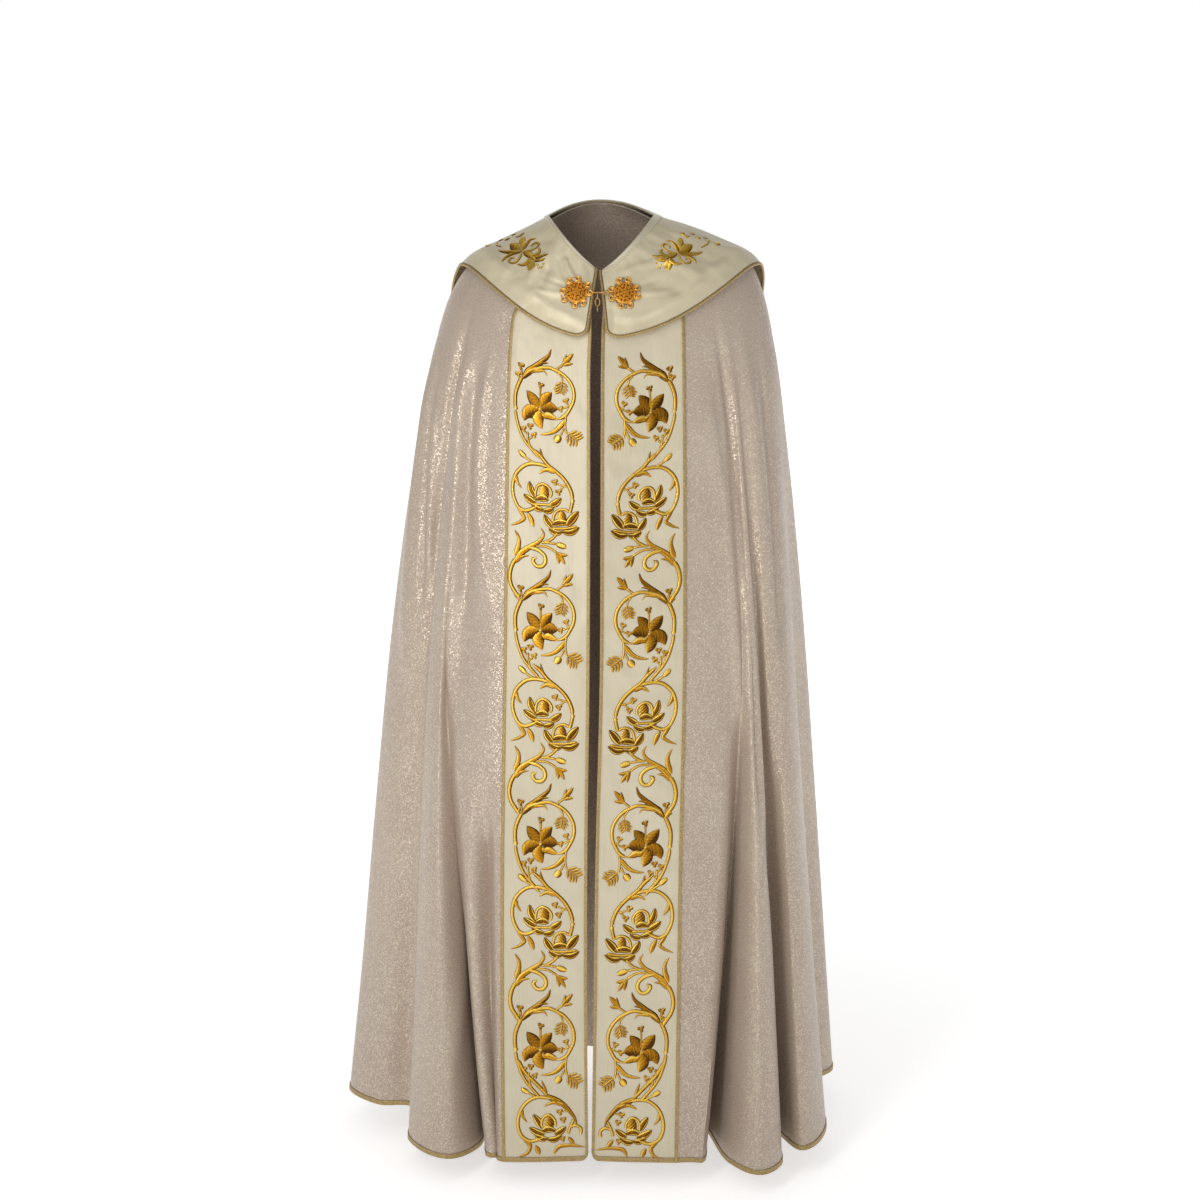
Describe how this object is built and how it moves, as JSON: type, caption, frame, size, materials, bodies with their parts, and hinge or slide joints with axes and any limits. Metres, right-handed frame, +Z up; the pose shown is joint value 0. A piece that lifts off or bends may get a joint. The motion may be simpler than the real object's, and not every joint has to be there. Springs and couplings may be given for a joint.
{
  "type": "cope vestment",
  "caption": "Floor-length open-front cope as worn: champagne cloak, embroidered ivory orphreys and hood, gold braid and a gilt medallion clasp.",
  "frame": {"origin": "on the wearer's shoulders, at the middle of the neck opening and level with the sides of the neck", "axes": "+Z up, -Y out of the open front, +X towards the wearer's left hand"},
  "size_m": [0.7728, 0.5788, 1.4091],
  "materials": {
    "lame": "champagne lame, a woven cloth with fine gold glitter",
    "ivory_satin": "ivory satin with gold embroidery",
    "cream_satin": "cream satin binding",
    "gold_braid": "dull gold metallic braid and piping",
    "gilt": "gilt filigree"
  },
  "bodies": {
    "root": {"cope_body": "lame", "orphrey_left": "ivory_satin", "orphrey_right": "ivory_satin", "hood": "ivory_satin", "neck_binding": "cream_satin", "hood_piping": "gold_braid", "hem_braid": "gold_braid", "orphrey_hem_left": "gold_braid", "orphrey_hem_right": "gold_braid", "orphrey_braid_left_inner": "gold_braid", "orphrey_braid_left_outer": "gold_braid", "orphrey_braid_right_inner": "gold_braid", "orphrey_braid_right_outer": "gold_braid", "medallion_left": "gilt", "medallion_right": "gilt", "clasp_hook": "gilt", "clasp_eye": "gilt", "chain_link_1": "gilt", "chain_link_2": "gilt", "chain_link_3": "gilt"}
  },
  "joints": []
}
